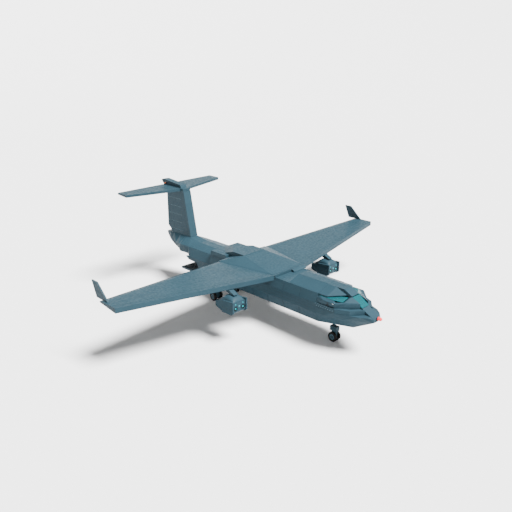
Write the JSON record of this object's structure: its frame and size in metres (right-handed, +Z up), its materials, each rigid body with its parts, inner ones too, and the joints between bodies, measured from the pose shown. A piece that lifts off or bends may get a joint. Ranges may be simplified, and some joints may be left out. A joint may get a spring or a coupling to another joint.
{
  "type": "brick-built toy transport plane",
  "caption": "Toy high-wing transport plane built from studded bricks, with a T-tail, two engine pods, an opening cargo ramp, a hollow load bay and a steering nose gear.",
  "frame": {"origin": "on the floor, below the middle of the model's box, with the model standing on its wheels", "axes": "+Z up, -Y towards the nose, +X towards the aircraft's left side"},
  "size_m": [1.108, 0.962, 0.3621],
  "materials": {
    "blue_plastic": "moulded grey-blue plastic, satin gloss",
    "black_plastic": "moulded black plastic",
    "dark_plastic": "moulded dark grey plastic",
    "brown_plastic": "moulded orange-brown plastic",
    "tyre_rubber": "soft black tyre",
    "teal_clear": "clear teal moulded plastic",
    "red_clear": "clear red moulded plastic"
  },
  "bodies": {
    "ramp": {"cargo_ramp": "blue_plastic"},
    "root": {"cockpit_bulkhead": "blue_plastic", "cockpit_floor": "dark_plastic", "cockpit_pillar_left": "blue_plastic", "cockpit_pillar_right": "blue_plastic", "cockpit_roof": "blue_plastic", "cockpit_sill_left": "blue_plastic", "cockpit_sill_right": "blue_plastic", "cockpit_wall_left": "blue_plastic", "cockpit_wall_right": "blue_plastic", "fin": "blue_plastic", "hull_floor": "blue_plastic", "hull_lower_left": "blue_plastic", "hull_lower_right": "blue_plastic", "hull_roof": "blue_plastic", "hull_side_left": "blue_plastic", "hull_side_right": "blue_plastic", "hull_upper_left": "blue_plastic", "hull_upper_right": "blue_plastic", "leg_main_left": "blue_plastic", "leg_main_right": "blue_plastic", "nose_hull": "blue_plastic", "nose_lamp": "red_clear", "nose_ring": "black_plastic", "nose_slope": "blue_plastic", "nose_tier_left": "blue_plastic", "nose_tier_right": "blue_plastic", "pod_body_left": "blue_plastic", "pod_body_right": "blue_plastic", "pod_hood_left": "blue_plastic", "pod_hood_right": "blue_plastic", "pod_intakes_left": "black_plastic", "pod_intakes_right": "black_plastic", "pylon_left": "blue_plastic", "pylon_right": "blue_plastic", "side_window_left": "teal_clear", "side_window_right": "teal_clear", "stabiliser_axle": "brown_plastic", "stabiliser_left": "blue_plastic", "stabiliser_right": "blue_plastic", "tail_bullet": "blue_plastic", "tail_cone": "blue_plastic", "windscreen": "teal_clear", "wing_centre": "blue_plastic", "wing_fairing": "blue_plastic", "wing_left": "blue_plastic", "wing_right": "blue_plastic", "winglet_left": "blue_plastic", "winglet_right": "blue_plastic"},
    "main_wheels_left": {"main_left_hubs": "blue_plastic", "main_left_tyre_a": "tyre_rubber", "main_left_tyre_b": "tyre_rubber"},
    "main_wheels_right": {"main_right_hubs": "blue_plastic", "main_right_tyre_a": "tyre_rubber", "main_right_tyre_b": "tyre_rubber"},
    "nose_wheels": {"nose_hubs": "blue_plastic", "nose_tyre_a": "tyre_rubber", "nose_tyre_b": "tyre_rubber"},
    "nose_gear": {"nose_leg": "blue_plastic"}
  },
  "joints": [
    {"name": "nose_steer", "type": "hinge", "parent": "root", "child": "nose_gear", "pos_m": [0, -0.324, 0.048], "axis": [0, 0, 1], "range_deg": [-45, 45]},
    {"name": "nose_spin", "type": "hinge", "parent": "nose_gear", "child": "nose_wheels", "pos_m": [0, -0.324, 0.0154], "axis": [1, 0, 0], "continuous": true},
    {"name": "main_left_spin", "type": "hinge", "parent": "root", "child": "main_wheels_left", "pos_m": [0.0526, 0.1435, 0.0154], "axis": [1, 0, 0], "continuous": true},
    {"name": "main_right_spin", "type": "hinge", "parent": "root", "child": "main_wheels_right", "pos_m": [-0.0526, 0.1435, 0.0154], "axis": [1, 0, 0], "continuous": true},
    {"name": "ramp_hinge", "type": "hinge", "parent": "root", "child": "ramp", "pos_m": [0, 0.2245, 0.074], "axis": [1, 0, 0], "range_deg": [-37, 26]}
  ]
}
